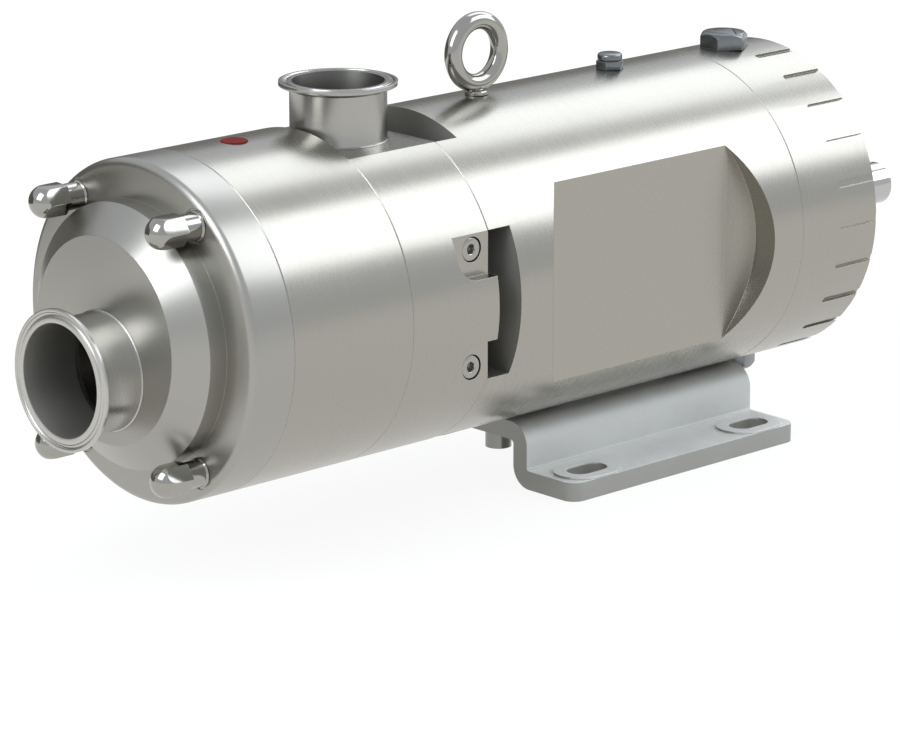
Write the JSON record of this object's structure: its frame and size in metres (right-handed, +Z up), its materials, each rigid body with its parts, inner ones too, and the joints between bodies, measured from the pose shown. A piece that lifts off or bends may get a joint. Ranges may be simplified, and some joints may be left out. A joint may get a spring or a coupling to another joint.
{
  "type": "twin screw pump",
  "caption": "Horizontal sanitary pump with two meshing screws in a round stainless body on a bent foot, with clamp ferrules and a bare drive shaft end.",
  "frame": {"origin": "middle of the pump's length and width, on the floor", "axes": "+X along the shafts towards the drive end, +Z up, +Y towards the idler shaft"},
  "size_m": [0.718, 0.222, 0.3247],
  "materials": {
    "stainless": "satin",
    "polished_steel": "polished",
    "machine_steel": "machined",
    "blasted_steel": "bead blasted",
    "plug_metal": "satin",
    "red_marker": "gloss",
    "seal_rubber": "matt",
    "seal_ceramic": "lapped"
  },
  "bodies": {
    "housing": {"inlet_ferrule": "stainless", "front_cover": "stainless", "dome_nuts": "polished_steel", "cover_studs": "polished_steel", "cover_seal": "seal_rubber", "casing_seal": "seal_rubber", "screw_casing": "stainless", "marker_plug": "red_marker", "outlet_casing": "stainless", "outlet_ferrule": "stainless", "casing_screws": "polished_steel", "gland_plate": "stainless", "gland_screws": "polished_steel", "seal_seats": "seal_ceramic", "bearing_housing": "stainless", "lip_seals": "seal_rubber", "front_bearing_outer_rings": "machine_steel", "front_bearing_rollers": "machine_steel", "bearing_carrier": "machine_steel", "carrier_screws": "machine_steel", "rear_bearing_outer_rings": "machine_steel", "rear_cover": "stainless", "rear_cover_seal": "seal_rubber", "rear_cover_screws": "machine_steel", "outboard_bearing": "machine_steel", "shaft_seal": "seal_rubber", "eyebolt": "polished_steel", "filler_plug": "plug_metal", "drain_plug": "plug_metal", "breather_plug": "plug_metal", "foot_bracket": "blasted_steel", "foot_bolts": "machine_steel"},
    "drive_rotor": {"drive_screw": "polished_steel", "drive_shaft": "polished_steel", "drive_screw_nut": "polished_steel", "drive_screw_key": "machine_steel", "drive_seal_head": "polished_steel", "drive_inner_rings": "machine_steel", "drive_gear": "machine_steel", "drive_gear_key": "machine_steel", "drive_locknut": "machine_steel"},
    "idler_rotor": {"idler_screw": "polished_steel", "idler_shaft": "polished_steel", "idler_screw_nut": "polished_steel", "idler_screw_key": "machine_steel", "idler_seal_head": "polished_steel", "idler_inner_rings": "machine_steel", "idler_gear": "machine_steel", "idler_gear_key": "machine_steel", "idler_locknut": "machine_steel"}
  },
  "joints": [
    {"name": "drive_spin", "type": "hinge", "parent": "housing", "child": "drive_rotor", "pos_m": [0, -0.038, 0.158], "axis": [1, 0, 0], "continuous": true},
    {"name": "idler_spin", "type": "hinge", "parent": "housing", "child": "idler_rotor", "pos_m": [0, 0.038, 0.158], "axis": [1, 0, 0], "continuous": true}
  ],
  "couplings": [
    {"joint": "idler_spin", "follows": "drive_spin", "ratio": -1}
  ]
}
